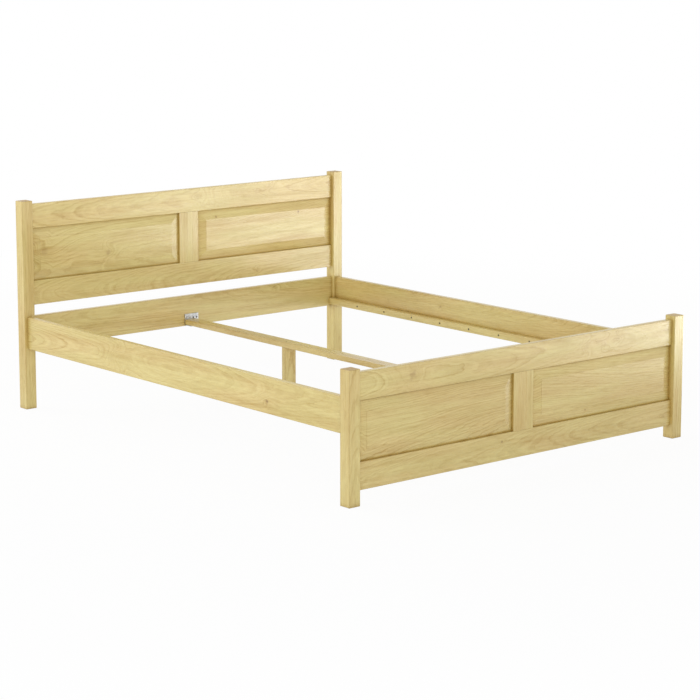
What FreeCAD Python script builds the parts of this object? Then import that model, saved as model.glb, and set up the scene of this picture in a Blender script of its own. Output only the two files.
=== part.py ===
import FreeCAD, Part
import math
import os
import re

import Sketcher

# A double bed frame of solid wood for a 160 x 200 cm mattress: a headboard and a footboard of
# raised and fielded panels between square posts, two side rails with ledger strips that hook
# onto the posts, and a flat centre beam on two legs. Millimetres, +Z up. X runs across the bed
# (the left side is -X), Y runs along it (the headboard is at +Y, the footboard at -Y), and the
# origin is on the floor under the middle of the bed.

os.makedirs("parts", exist_ok=True)

SIZES = (
    ("mattress_width", 1600, "mattress that the frame is made for"),
    ("mattress_length", 2000, "mattress that the frame is made for"),
    ("mattress_play", 10, "room round the mattress, each side and each end"),
    ("post_size", 50, "square section of the four posts"),
    ("head_post_height", 863, "top of the headboard's posts"),
    ("foot_post_height", 485, "top of the footboard's posts"),
    ("post_round", 2, "radius of a post's eased upright edges"),
    ("post_chamfer", 1.5, "chamfer round a post's top and foot"),
    ("edge_round", 1.5, "radius of the other pieces' eased long edges"),
    ("board_setback", 15, "boards lie behind the posts' outer faces by this much"),
    ("frame_thick", 22, "rails and stile of a panel frame, and the cross board"),
    ("frame_rail_width", 100, "height of the rails above and below the panels"),
    ("stile_width", 100, "upright between the two panels"),
    ("panel_opening", 218, "height of the panels' opening between the rails"),
    ("head_frame_bottom", 430, "underside of the headboard's panel frame"),
    ("foot_frame_bottom", 52, "underside of the footboard's panel frame"),
    ("tongue_thick", 6, "panel tongue, and the groove that holds it"),
    ("tongue_depth", 10, "from the frame's front face back to the tongue"),
    ("groove_depth", 10, "groove in the rails, stile and posts"),
    ("tongue_play", 1, "room at the bottom of a groove for the wood to move"),
    ("field_margin", 42, "width of the bevel round a panel's raised field"),
    ("field_step", 0.5, "small step at the edge of the raised field"),
    ("tenon_thick", 9, "tenons of the rails and cross board"),
    ("tenon_length", 30, "tenons of the rails and cross board"),
    ("tenon_shoulder", 14, "shoulder above and below a tenon"),
    ("mortise_play", 1, "room at the bottom of a mortise"),
    ("side_rail_thick", 22, "side rails"),
    ("side_rail_height", 132, "side rails and the headboard's cross board"),
    ("side_rail_bottom", 252, "underside of the side rails and the cross board"),
    ("ledger_thick", 28, "ledger strips that carry the slats"),
    ("ledger_height", 30, "ledger strips that carry the slats"),
    ("ledger_lift", 6.5, "ledgers and centre beam lie above the side rail's underside"),
    ("ledger_screws", 10, "number of screws in a ledger"),
    ("beam_width", 56, "centre beam, laid flat, and its legs"),
    ("beam_thick", 22, "centre beam"),
    ("leg_thick", 22, "legs under the centre beam"),
    ("bracket_leg", 48, "angle bracket's two flanges"),
    ("bracket_width", 72, "angle bracket across the bed"),
    ("bracket_thick", 2.5, "angle bracket's sheet"),
    ("bracket_bend", 3, "outside radius of the angle bracket's bend"),
    ("bracket_offset", 7, "angle bracket stands right of the bed's middle"),
    ("bracket_hole_pitch", 18, "four holes in the angle bracket's upright flange"),
    ("bracket_screw_rise", 5.5, "upright flange's screws above the centre beam"),
    ("shelf_hole_pitch", 28, "two holes in the angle bracket's lower flange"),
    ("shelf_hole_inset", 30, "these two holes from the board behind the bracket"),
    ("plate_width", 16, "hook plates and catch plates"),
    ("plate_thick", 2, "hook plates and catch plates"),
    ("plate_margin", 11, "side rail above and below a plate"),
    ("plate_screw_inset", 8, "plate's screws from its ends"),
    ("hook_width", 4, "hooks of a hook plate"),
    ("hook_height", 10, "neck of a hook"),
    ("hook_drop", 8, "nose of a hook below its neck"),
    ("hook_reach", 9, "hook out of the rail's end"),
    ("hook_inset", 26, "middle of a hook's neck from the end of its plate"),
    ("hook_play", 0.3, "room round a hook"),
    ("screw_size", 4, "shank of the screws"),
    ("screw_head", 8, "head of the screws"),
    ("screw_play", 0.2, "room round a screw's shank"),
    ("ledger_screw_length", 42, "screws through a ledger into its side rail"),
    ("leg_screw_length", 60, "screws through the centre beam into a leg"),
    ("bracket_screw_length", 15, "screws of the angle brackets"),
    ("plate_screw_length", 18, "screws of the hook plates and catch plates"),
    ("leg_screw_pitch", 28, "two screws in the top of a leg"),
)

# Places worked out from the sizes, as formulas over their names.
INNER_LENGTH = "(mattress_length + 2 * mattress_play)"
INNER_WIDTH = "(mattress_width + 2 * mattress_play)"
OUTER_LENGTH = f"({INNER_LENGTH} + 2 * post_size)"
OUTER_WIDTH = f"({INNER_WIDTH} + 2 * side_rail_thick + 2 * board_setback)"
FRAME_LENGTH = f"({OUTER_WIDTH} - 2 * post_size)"
POST_X = f"({OUTER_WIDTH} - post_size) / 2"
POST_Y = f"({OUTER_LENGTH} - post_size) / 2"
HEAD_FRAME_FRONT = f"({INNER_LENGTH} / 2 + board_setback)"
FOOT_FRAME_FRONT = f"(-{OUTER_LENGTH} / 2 + board_setback)"
FOOT_FRAME_BACK = f"({FOOT_FRAME_FRONT} + frame_thick)"
HALF_OPENING = f"(({FRAME_LENGTH} - stile_width) / 4)"
PANEL_X = f"(stile_width / 2 + {HALF_OPENING})"
TONGUE_LENGTH = "(groove_depth - tongue_play)"
MORTISE_DEPTH = "(tenon_length + mortise_play)"
SIDE_RAIL_X = f"({INNER_WIDTH} / 2 + side_rail_thick / 2)"
RAIL_TO_POST = "(post_size / 2 - board_setback - side_rail_thick / 2)"
LEDGER_BOTTOM = "(side_rail_bottom + ledger_lift)"
LEDGER_X = f"({INNER_WIDTH} / 2 - ledger_thick / 2)"
LEDGER_PITCH = f"({INNER_LENGTH} / (ledger_screws + 1))"
LEDGER_NOTCH = "(post_size - board_setback - side_rail_thick)"
BEAM_TOP = f"({LEDGER_BOTTOM} + beam_thick)"
BEAM_FOOT_END = f"({FOOT_FRAME_BACK} + bracket_thick)"
BEAM_HEAD_END = f"({HEAD_FRAME_FRONT} - bracket_thick)"
FRAMES_MIDDLE = f"(({FOOT_FRAME_BACK} + {HEAD_FRAME_FRONT}) / 2)"
HALF_FRAMES_GAP = f"(({HEAD_FRAME_FRONT} - {FOOT_FRAME_BACK}) / 2)"
LEG_SPACING = f"({INNER_LENGTH} / 3)"
BRACKET_BOTTOM = f"({LEDGER_BOTTOM} - bracket_thick)"
BRACKET_SCREW_Z = f"({BEAM_TOP} + bracket_screw_rise)"
PLATE_HEIGHT = "(side_rail_height - 2 * plate_margin)"
PLATE_Z = "(side_rail_bottom + side_rail_height / 2)"
PLATE_SCREW_Z = f"({PLATE_HEIGHT} / 2 - plate_screw_inset)"
HOLE_SIZE = "(screw_size + screw_play)"
HEAD_DEPTH = "((screw_head - screw_size) / 2)"
NOSE_START = "(plate_thick + hook_play)"
SLOT_HEIGHT = "(hook_height + hook_drop + hook_play)"
SINK_DEPTH = f"((screw_head - {HOLE_SIZE}) / 2)"

LEFT, RIGHT = -1, 1
FOOT, HEAD = -1, 1
SIDE_NAMES = {LEFT: "left", RIGHT: "right"}
END_NAMES = {FOOT: "foot", HEAD: "head"}
BRACKET_HOLES = (-1.5, -0.5, 0.5, 1.5)
BRACKET_SCREWED = BRACKET_HOLES[2:]
ALONG_X = FreeCAD.Vector(1, 0, 0)
ALONG_Y = FreeCAD.Vector(0, 1, 0)
ALONG_Z = FreeCAD.Vector(0, 0, 1)
NEARLY_NOTHING = 1e-6
CLOSE = 1e-3
# Screws and their holes repeat so often that their round sections have only this many sides.
ROUND_SIDES = 10

doc = FreeCAD.newDocument("panel_bed")
sheet = doc.addObject("Spreadsheet::Sheet", "sizes")
for row, (alias, value, meaning) in enumerate(SIZES, start=1):
    sheet.set(f"A{row}", meaning)
    sheet.set(f"B{row}", str(value))
    sheet.setAlias(f"B{row}", alias)
doc.recompute()
ALIASES = {alias for alias, value, meaning in SIZES}
bodies = []


# ---- helpers -------------------------------------------------------------------------------

def bind(thing, prop, formula):
    """Binds a property to a formula over the names of the sizes."""
    words = re.sub(r"[a-z_]+", lambda m: f"sizes.{m[0]}" if m[0] in ALIASES else m[0], formula)
    thing.setExpression(prop, words)


def new_body(name, x="0", y="0", z="0", turn=0):
    """An empty body at its place in the bed, turned about the upright axis by some degrees."""
    body = doc.addObject("PartDesign::Body", name)
    body.Label = name
    body.Placement = FreeCAD.Placement(FreeCAD.Vector(), FreeCAD.Rotation(turn, 0, 0))
    for axis, formula in zip("xyz", (x, y, z)):
        bind(body, f"Placement.Base.{axis}", formula)
    bodies.append(body)
    return body


def origin_part(body, role):
    """One of the body's own origin planes or axes."""
    return next(part for part in body.Origin.OriginFeatures if part.Role == role)


def pin(sketch, item, spot, u, v):
    """Fixes one point of a sketch at a place given by two formulas."""
    for kind, axis, formula in (("DistanceX", -2, u), ("DistanceY", -1, v)):
        if formula == "0":
            sketch.addConstraint(Sketcher.Constraint("PointOnObject", item, spot, axis))
            continue
        made = sketch.addConstraint(Sketcher.Constraint(kind, -1, 1, item, spot, 1.0))
        bind(sketch, f"Constraints[{made}]", formula)


def outline(sketch, corners):
    """A closed outline with straight sides through corners given by formulas."""
    first = sketch.GeometryCount
    count = len(corners)
    turn = FreeCAD.Rotation(FreeCAD.Vector(0, 0, 1), 360 / count)
    spot = FreeCAD.Vector(10, 0, 0)
    for _ in corners:
        after = turn.multVec(spot)
        sketch.addGeometry(Part.LineSegment(spot, after), False)
        spot = after
    for i, (u, v) in enumerate(corners):
        joined = first + (i + 1) % count
        sketch.addConstraint(Sketcher.Constraint("Coincident", first + i, 2, joined, 1))
        pin(sketch, first + i, 1, u, v)


def box(u0, v0, u1, v1):
    """The four corners of a rectangle."""
    return ((u0, v0), (u1, v0), (u1, v1), (u0, v1))


def ring(spot, diameter):
    """The corners of a screw's or a hole's round section."""
    u, v = spot
    corners = []
    for i in range(ROUND_SIDES):
        angle = 2 * math.pi * (i + 0.5) / ROUND_SIDES
        across, up = math.cos(angle) / 2, math.sin(angle) / 2
        corners.append((f"{u} + {diameter} * {across:.6f}", f"{v} + {diameter} * {up:.6f}"))
    return corners


def draw(body, role, name, outlines, lift=None):
    """A sketch on an origin plane of the body, or lifted off it along its normal."""
    sketch = body.newObject("Sketcher::SketchObject", f"{body.Name}_{name}_sketch")
    sketch.AttachmentSupport = [(origin_part(body, role), "")]
    sketch.MapMode = "FlatFace"
    if lift:
        bind(sketch, "AttachmentOffset.Base.z", lift)
    for corners in outlines:
        outline(sketch, corners)
    return sketch


def pad(body, name, sketch, length, both_ways=False, backwards=False):
    """Adds the sketch's outlines, drawn out along its normal, backwards or both ways."""
    feature = body.newObject("PartDesign::Pad", f"{body.Name}_{name}")
    feature.Profile = sketch
    feature.SideType = "Symmetric" if both_ways else "One side"
    feature.Reversed = backwards
    bind(feature, "Length", length)
    doc.recompute()
    return feature


def must_take(body, feature, before):
    """Makes sure that a feature took some of the body away."""
    doc.recompute()
    if not body.Shape.Volume < before - 1:
        raise RuntimeError(f"{feature.Name} takes nothing away")
    return feature


def cut(body, name, sketch, length, both_ways=False, backwards=False):
    """Takes the sketch's outlines away, against its normal, backwards or both ways."""
    before = body.Shape.Volume
    feature = body.newObject("PartDesign::Pocket", f"{body.Name}_{name}")
    feature.Profile = sketch
    feature.SideType = "Symmetric" if both_ways else "One side"
    feature.Reversed = backwards
    bind(feature, "Length", length)
    return must_take(body, feature, before)


def cone(body, name, wide, narrow):
    """A straight-sided cone between two sketches."""
    feature = body.newObject("PartDesign::AdditiveLoft", f"{body.Name}_{name}")
    feature.Profile = wide
    feature.Sections = [narrow]
    feature.Ruled = True
    doc.recompute()
    return feature


def clear_holes(body, name, role, spots, face, sign, through):
    """Holes through a piece for the shanks of screws.

    They start at face, a place along the plane's normal, and run along it for sign 1 and
    against it for -1.
    """
    sketch = draw(body, role, f"{name}_bores", [ring(spot, HOLE_SIZE) for spot in spots], lift=face)
    return cut(body, f"{name}_bores", sketch, through, backwards=sign == 1)


def countersink(body, name, holes, through):
    """Bevels the rims of clear holes for the screws' heads, in the plane where they start."""
    sketch = holes.Profile[0]
    normal = sketch.Placement.Rotation.multVec(ALONG_Z)
    side = (sheet.screw_size + sheet.screw_play) * math.sin(math.pi / ROUND_SIDES)
    base = body.Tip
    rims = [
        f"Edge{i}"
        for i, edge in enumerate(base.Shape.Edges, start=1)
        if abs(edge.Length - side) < CLOSE and all(
            abs((vertex.Point - sketch.Placement.Base).dot(normal)) < CLOSE
            for vertex in edge.Vertexes
        )
    ]
    before = body.Shape.Volume
    sinks = body.newObject("PartDesign::Chamfer", f"{body.Name}_{name}")
    sinks.Base = (base, rims)
    bind(sinks, "Size", f"min({SINK_DEPTH}; 0.95 * {through})")
    must_take(body, sinks, before)


def pilot_holes(body, name, role, spots, face, sign, depth):
    """Blind holes for the shanks of screws, from face along the plane's normal or against it."""
    sketch = draw(body, role, name, [ring(spot, HOLE_SIZE) for spot in spots], lift=face)
    return cut(body, name, sketch, f"{depth} + screw_play", backwards=sign == 1)


def screws(body, name, role, spots, face, sign, length):
    """Countersunk screws whose heads' flat sides lie at face and whose shanks run along the
    plane's normal for sign 1 and against it for -1."""
    wide = draw(body, role, f"{name}_heads", [ring(spot, "screw_head") for spot in spots], lift=face)
    neck = draw(
        body, role, f"{name}_necks", [ring(spot, "screw_size") for spot in spots],
        lift=f"{face} + {sign} * {HEAD_DEPTH}",
    )
    heads = cone(body, f"{name}_heads", wide, neck)
    shanks = pad(body, f"{name}_shanks", neck, f"{length} - {HEAD_DEPTH}", backwards=sign == -1)
    return [heads, shanks]


def ease(body, base, edges, radius):
    """Rounds some edges of the base."""
    fillet = body.newObject("PartDesign::Fillet", f"{base.Name}_eased")
    fillet.Base = (base, edges)
    bind(fillet, "Radius", radius)
    doc.recompute()
    return fillet


def edges_along(base, direction):
    """The names of the base's edges that run along one direction."""
    return [
        f"Edge{i}"
        for i, edge in enumerate(base.Shape.Edges, start=1)
        if abs(edge.tangentAt(edge.FirstParameter).dot(direction)) > 1 - NEARLY_NOTHING
    ]


def level_faces(base):
    """The names of the base's top and bottom faces."""
    return [
        f"Face{i}"
        for i, face in enumerate(base.Shape.Faces, start=1)
        if abs(face.normalAt(0, 0).z) > 1 - NEARLY_NOTHING
    ]


def repeat(body, name, originals, role, length, count):
    """Repeats features along an origin axis; length is from the first copy to the last."""
    pattern = body.newObject("PartDesign::LinearPattern", f"{body.Name}_{name}")
    pattern.Originals = originals
    pattern.Direction = (origin_part(body, role), [""])
    pattern.Mode = "Extent"
    bind(pattern, "Length", length)
    bind(pattern, "Occurrences", count)
    body.Tip = pattern
    doc.recompute()


def mirror(body, name, originals, *roles):
    """Repeats features on the other side of one origin plane, or of several, one by one."""
    steps = []
    for role in roles:
        step = body.newObject("PartDesign::Mirrored", f"{body.Name}_{name}_{role}")
        step.MirrorPlane = (origin_part(body, role), [""])
        steps.append(step)
    many = body.newObject("PartDesign::MultiTransform", f"{body.Name}_{name}")
    many.Originals = originals
    many.Transformations = steps
    body.Tip = many
    doc.recompute()


# ---- posts ---------------------------------------------------------------------------------

# The undersides of the two hooks' necks, measured from the middle of their plate.
HOOK_HEIGHTS = tuple(
    f"({up} * ({PLATE_HEIGHT} / 2 - hook_inset) - hook_height / 2)" for up in (-1, 1)
)


def make_post(end, side):
    """A square post, mortised for the rails, grooved for a panel, with a catch plate let in.

    Its own origin is on the floor in the middle of its section.
    """
    name = f"{END_NAMES[end]}_post_{SIDE_NAMES[side]}"
    body = new_body(name, f"{side} * {POST_X}", f"{end} * {POST_Y}")
    half = "post_size / 2"
    section = draw(body, "XY_Plane", "blank", [box(f"-{half}", f"-{half}", half, half)])
    blank = pad(body, "blank", section, f"{END_NAMES[end]}_post_height")
    eased = ease(body, blank, edges_along(blank, ALONG_Z), "post_round")
    ends = body.newObject("PartDesign::Chamfer", f"{body.Name}_ends")
    ends.Base = (eased, level_faces(eased))
    bind(ends, "Size", "min(post_chamfer; 0.9 * post_round)")
    doc.recompute()
    cut_rail_joints(body, end, side)
    cut_hook_pockets(body, end, side)


def cut_rail_joints(body, end, side):
    """Mortises for the rails and a groove for a panel, in a post's inner face.

    Both are cut from a sketch at their bottom, inside the post, out through that face.
    """
    frame_bottom = f"{END_NAMES[end]}_frame_bottom"
    opening_bottom = f"({frame_bottom} + frame_rail_width)"
    frame_front = "(-post_size / 2 + board_setback)"
    outwards = side == LEFT

    tenon_front = f"({frame_front} + (frame_thick - tenon_thick) / 2)"
    tenon_back = f"({tenon_front} + tenon_thick)"
    rails = [
        (frame_bottom, "frame_rail_width"),
        (f"{opening_bottom} + panel_opening", "frame_rail_width"),
    ]
    if end == HEAD:
        rails.append(("side_rail_bottom", "side_rail_height"))
    mortises = [
        box(tenon_front, f"{low} + tenon_shoulder", tenon_back, f"{low} + {tall} - tenon_shoulder")
        for low, tall in rails
    ]
    lift = f"{-side} * (post_size / 2 - {MORTISE_DEPTH})"
    sketch = draw(body, "YZ_Plane", "mortises", mortises, lift=lift)
    cut(body, "mortises", sketch, MORTISE_DEPTH, backwards=outwards)

    groove_front = f"({frame_front} + tongue_depth)"
    groove_low = f"({opening_bottom} - groove_depth)"
    groove_high = f"({opening_bottom} + panel_opening + groove_depth)"
    groove = box(groove_front, groove_low, f"{groove_front} + tongue_thick", groove_high)
    lift = f"{-side} * (post_size / 2 - groove_depth)"
    sketch = draw(body, "YZ_Plane", "groove", [groove], lift=lift)
    cut(body, "groove", sketch, "groove_depth", backwards=outwards)


def cut_hook_pockets(body, end, side):
    """A seat for a catch plate in the face that meets the side rail, with the hooks' pockets
    and the pilot holes of the plate's screws behind it."""
    face = f"{end} * post_size / 2"
    middle = f"{side} * {RAIL_TO_POST}"
    inwards = end == FOOT
    plate = box(
        f"{middle} - plate_width / 2", f"{PLATE_Z} - {PLATE_HEIGHT} / 2",
        f"{middle} + plate_width / 2", f"{PLATE_Z} + {PLATE_HEIGHT} / 2",
    )
    sketch = draw(body, "XZ_Plane", "plate_seat", [plate], lift=face)
    cut(body, "plate_seat", sketch, "plate_thick", backwards=inwards)

    half_width = "(hook_width / 2 + hook_play)"
    pockets = [
        box(
            f"{middle} - {half_width}", f"{PLATE_Z} + {low} - hook_drop - hook_play",
            f"{middle} + {half_width}", f"{PLATE_Z} + {low} + {SLOT_HEIGHT}",
        )
        for low in HOOK_HEIGHTS
    ]
    sketch = draw(body, "XZ_Plane", "hook_pockets", pockets, lift=face)
    cut(body, "hook_pockets", sketch, "hook_reach + hook_play", backwards=inwards)

    spots = [(middle, f"{PLATE_Z} + {up} * {PLATE_SCREW_Z}") for up in (-1, 1)]
    pilot_holes(body, "pilots", "XZ_Plane", spots, face, -end, "plate_screw_length")


# ---- panel frames --------------------------------------------------------------------------

def make_cross_piece(name, front, bottom, height, grooved=None):
    """A rail between two posts, with a tenon at each end and a groove in one edge for panels.

    Its own origin is in the middle of its length, at the foot of its front face.
    """
    body = new_body(name, y=front, z=bottom)
    section = draw(body, "YZ_Plane", "blank", [box("0", "0", "frame_thick", height)])
    blank = pad(body, "blank", section, FRAME_LENGTH, both_ways=True)
    ease(body, blank, edges_along(blank, ALONG_X), "edge_round")

    tenon_front = "((frame_thick - tenon_thick) / 2)"
    tenon_back = f"({tenon_front} + tenon_thick)"
    tenon = box(tenon_front, "tenon_shoulder", tenon_back, f"{height} - tenon_shoulder")
    whole = f"{FRAME_LENGTH} + 2 * tenon_length"
    pad(body, "tenons", draw(body, "YZ_Plane", "tenons", [tenon]), whole, both_ways=True)

    if grooved:
        bottom_edge = ("0", "groove_depth")
        top_edge = (f"{height} - groove_depth", height)
        low, high = bottom_edge if grooved == "bottom" else top_edge
        groove = box("tongue_depth", low, "tongue_depth + tongue_thick", high)
        cut(body, "groove", draw(body, "YZ_Plane", "groove", [groove]), whole, both_ways=True)
    return body


def make_stile(name, front, bottom):
    """The upright between two panels, grooved on both edges, with stub tenons in the rails.

    Its own origin is at the foot of its front face, in the middle of its width.
    """
    body = new_body(name, y=front, z=bottom)
    half = "stile_width / 2"
    section = draw(body, "XY_Plane", "blank", [box(f"-{half}", "0", half, "frame_thick")])
    blank = pad(body, "blank", section, "panel_opening")
    ease(body, blank, edges_along(blank, ALONG_Z), "edge_round")

    tongue_back = "tongue_depth + tongue_thick"
    inner = f"({half} - groove_depth)"
    stub = box(f"-{inner}", "tongue_depth", inner, tongue_back)
    sketch = draw(body, "XY_Plane", "stub_tenons", [stub], lift=f"-{TONGUE_LENGTH}")
    pad(body, "stub_tenons", sketch, f"panel_opening + 2 * {TONGUE_LENGTH}")

    grooves = [box(f"{s} * {half}", "tongue_depth", f"{s} * {inner}", tongue_back) for s in (-1, 1)]
    sketch = draw(body, "XY_Plane", "grooves", grooves)
    cut(body, "grooves", sketch, "2 * panel_opening", both_ways=True)
    return body


def make_panel(name, side, front, bottom):
    """A raised and fielded panel: a flat field, flush with the frame, inside a wide bevel that
    falls to a thin tongue, which floats in the grooves all round.

    Its own origin is at the foot of its opening, in the plane of the frame's front face.
    """
    body = new_body(name, f"{side} * {PANEL_X}", front, bottom)
    edge = f"({HALF_OPENING} + {TONGUE_LENGTH})"
    low = f"(-{TONGUE_LENGTH})"
    high = f"(panel_opening + {TONGUE_LENGTH})"
    blank = draw(body, "XZ_Plane", "blank", [box(f"-{edge}", low, edge, high)])
    pad(body, "blank", blank, "tongue_depth + tongue_thick", backwards=True)

    # The same bevel comes off the two ends and off the two long edges, so that the bevels meet
    # in mitres at the corners of the field.
    field_end = f"({HALF_OPENING} - field_margin)"
    ends = [
        (
            (f"{s} * {edge}", "0"), (f"{s} * {field_end}", "0"), (f"{s} * {field_end}", "field_step"),
            (f"{s} * {HALF_OPENING}", "tongue_depth"), (f"{s} * {edge}", "tongue_depth"),
        )
        for s in (-1, 1)
    ]
    sketch = draw(body, "XY_Plane", "end_bevels", ends)
    cut(body, "end_bevels", sketch, f"2 * ({high} + tongue_play)", both_ways=True)

    long_edges = [
        (
            ("0", outer), ("0", field), ("field_step", field),
            ("tongue_depth", rim), ("tongue_depth", outer),
        )
        for outer, rim, field in (
            (low, "0", "field_margin"),
            (high, "panel_opening", "panel_opening - field_margin"),
        )
    ]
    sketch = draw(body, "YZ_Plane", "long_bevels", long_edges)
    cut(body, "long_bevels", sketch, f"2 * ({edge} + tongue_play)", both_ways=True)


def make_panel_frame(end, front, bottom, lower_rail):
    """Two rails, the stile and the two panels of a headboard or footboard."""
    board = END_NAMES[end]
    opening = f"({bottom} + frame_rail_width)"
    top = f"{opening} + panel_opening"
    make_cross_piece(f"{board}_top_rail", front, top, "frame_rail_width", "bottom")
    make_cross_piece(lower_rail, front, bottom, "frame_rail_width", "top")
    for side in (LEFT, RIGHT):
        make_panel(f"{board}_panel_{SIDE_NAMES[side]}", side, front, opening)
    return make_stile(f"{board}_stile", front, opening)


# ---- side rails and ledgers ----------------------------------------------------------------

FIRST_LEDGER_SCREW = f"({LEDGER_PITCH} * (ledger_screws - 1) / 2)"


def make_side_rail(side):
    """A side rail, with a hook plate's seat in each end and pilot holes for the ledger's screws.

    Its own origin is in the middle of its length and thickness, at its underside.
    """
    body = new_body(f"side_rail_{SIDE_NAMES[side]}", f"{side} * {SIDE_RAIL_X}", z="side_rail_bottom")
    half = "side_rail_thick / 2"
    section = draw(body, "XZ_Plane", "blank", [box(f"-{half}", "0", half, "side_rail_height")])
    blank = pad(body, "blank", section, INNER_LENGTH, both_ways=True)
    ease(body, blank, edges_along(blank, ALONG_Y), "edge_round")

    foot_end = f"{INNER_LENGTH} / 2"
    centre = "side_rail_height / 2"
    plate = box(
        "-plate_width / 2", f"{centre} - {PLATE_HEIGHT} / 2",
        "plate_width / 2", f"{centre} + {PLATE_HEIGHT} / 2",
    )
    seat = cut(body, "seat", draw(body, "XZ_Plane", "seat", [plate], lift=foot_end), "plate_thick")
    spots = [("0", f"{centre} + {up} * {PLATE_SCREW_Z}") for up in (-1, 1)]
    holes = pilot_holes(body, "pilots", "XZ_Plane", spots, foot_end, -1, "plate_screw_length")
    mirror(body, "head_end", [seat, holes], "XZ_Plane")

    spot = (f"-{FIRST_LEDGER_SCREW}", "ledger_lift + ledger_height / 2")
    hole = pilot_holes(
        body, "ledger_pilot", "YZ_Plane", [spot], f"{-side} * {half}", side,
        "ledger_screw_length - ledger_thick",
    )
    repeat(body, "ledger_pilots", [hole], "Y_Axis", f"2 * {FIRST_LEDGER_SCREW}", "ledger_screws")


def make_ledger(side):
    """A ledger strip along the inside of a side rail, notched at its head end round the post.

    Its own origin is in the middle of the side rail's length, at the strip's underside.
    """
    body = new_body(f"ledger_{SIDE_NAMES[side]}", f"{side} * {LEDGER_X}", z=LEDGER_BOTTOM)
    half = "ledger_thick / 2"
    post_face = f"{INNER_LENGTH} / 2"
    section = box(f"-{half}", "0", half, "ledger_height")
    sketch = draw(body, "XZ_Plane", "blank", [section], lift=post_face)
    blank = pad(body, "blank", sketch, f"{INNER_LENGTH} + board_setback", backwards=True)
    ease(body, blank, edges_along(blank, ALONG_Y), "edge_round")

    notch = box(
        f"{side} * {half}", post_face,
        f"{side} * ({half} - {LEDGER_NOTCH})", f"{post_face} + board_setback",
    )
    cut(body, "notch", draw(body, "XY_Plane", "notch", [notch]), "ledger_height", backwards=True)

    spot = (f"-{FIRST_LEDGER_SCREW}", "ledger_height / 2")
    inner_face = f"{-side} * {half}"
    hole = clear_holes(body, "screw", "YZ_Plane", [spot], inner_face, side, "ledger_thick")
    repeat(body, "screw_holes", [hole], "Y_Axis", f"2 * {FIRST_LEDGER_SCREW}", "ledger_screws")
    countersink(body, "sinks", hole, "ledger_thick")


def make_ledger_screws(side):
    """The row of screws that fastens a ledger to its side rail.

    Its own origin is at the ledger's inner face, half way up, in the middle of the row.
    """
    body = new_body(
        f"ledger_screws_{SIDE_NAMES[side]}", f"{side} * ({INNER_WIDTH} / 2 - ledger_thick)",
        z=f"{LEDGER_BOTTOM} + ledger_height / 2",
    )
    spot = (f"-{FIRST_LEDGER_SCREW}", "0")
    screw = screws(body, "first", "YZ_Plane", [spot], "0", side, "ledger_screw_length")
    repeat(body, "row", screw, "Y_Axis", f"2 * {FIRST_LEDGER_SCREW}", "ledger_screws")


# ---- centre beam, its legs and brackets ----------------------------------------------------

BRACKET_PILOT_DEPTH = "bracket_screw_length - bracket_thick"


def make_beam():
    """The centre beam, laid flat under the slats, with countersunk holes over its legs.

    Its own origin is in the middle of the bed, at the beam's underside.
    """
    body = new_body("centre_beam", z=LEDGER_BOTTOM)
    half = "beam_width / 2"
    section = box(f"-{half}", "0", half, "beam_thick")
    sketch = draw(body, "XZ_Plane", "blank", [section], lift=f"-{BEAM_HEAD_END}")
    blank = pad(body, "blank", sketch, f"{BEAM_HEAD_END} - {BEAM_FOOT_END}")
    ease(body, blank, edges_along(blank, ALONG_Y), "edge_round")

    over_legs = [
        (f"{s} * leg_screw_pitch / 2", f"{t} * {LEG_SPACING} / 2")
        for s in (-1, 1)
        for t in (FOOT, HEAD)
    ]
    holes = clear_holes(body, "legs", "XY_Plane", over_legs, "beam_thick", -1, "beam_thick")
    countersink(body, "leg_sinks", holes, "beam_thick")
    over_shelves = [
        (f"bracket_offset + {s} * shelf_hole_pitch / 2", y)
        for s in (-1, 1)
        for y in (f"{FOOT_FRAME_BACK} + shelf_hole_inset", f"{HEAD_FRAME_FRONT} - shelf_hole_inset")
    ]
    pilot_holes(body, "pilots", "XY_Plane", over_shelves, "0", 1, BRACKET_PILOT_DEPTH)


def make_leg(end):
    """A flat leg under the centre beam, a third of the way along the bed from one end.

    Its own origin is on the floor in the middle of its section.
    """
    body = new_body(f"centre_leg_{END_NAMES[end]}", y=f"{end} * {LEG_SPACING} / 2")
    section = box("-beam_width / 2", "-leg_thick / 2", "beam_width / 2", "leg_thick / 2")
    blank = pad(body, "blank", draw(body, "XY_Plane", "blank", [section]), LEDGER_BOTTOM)
    ease(body, blank, edges_along(blank, ALONG_Z), "edge_round")
    spots = [(f"{s} * leg_screw_pitch / 2", "0") for s in (-1, 1)]
    pilot_holes(body, "pilots", "XY_Plane", spots, LEDGER_BOTTOM, -1, "leg_screw_length - beam_thick")


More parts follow.
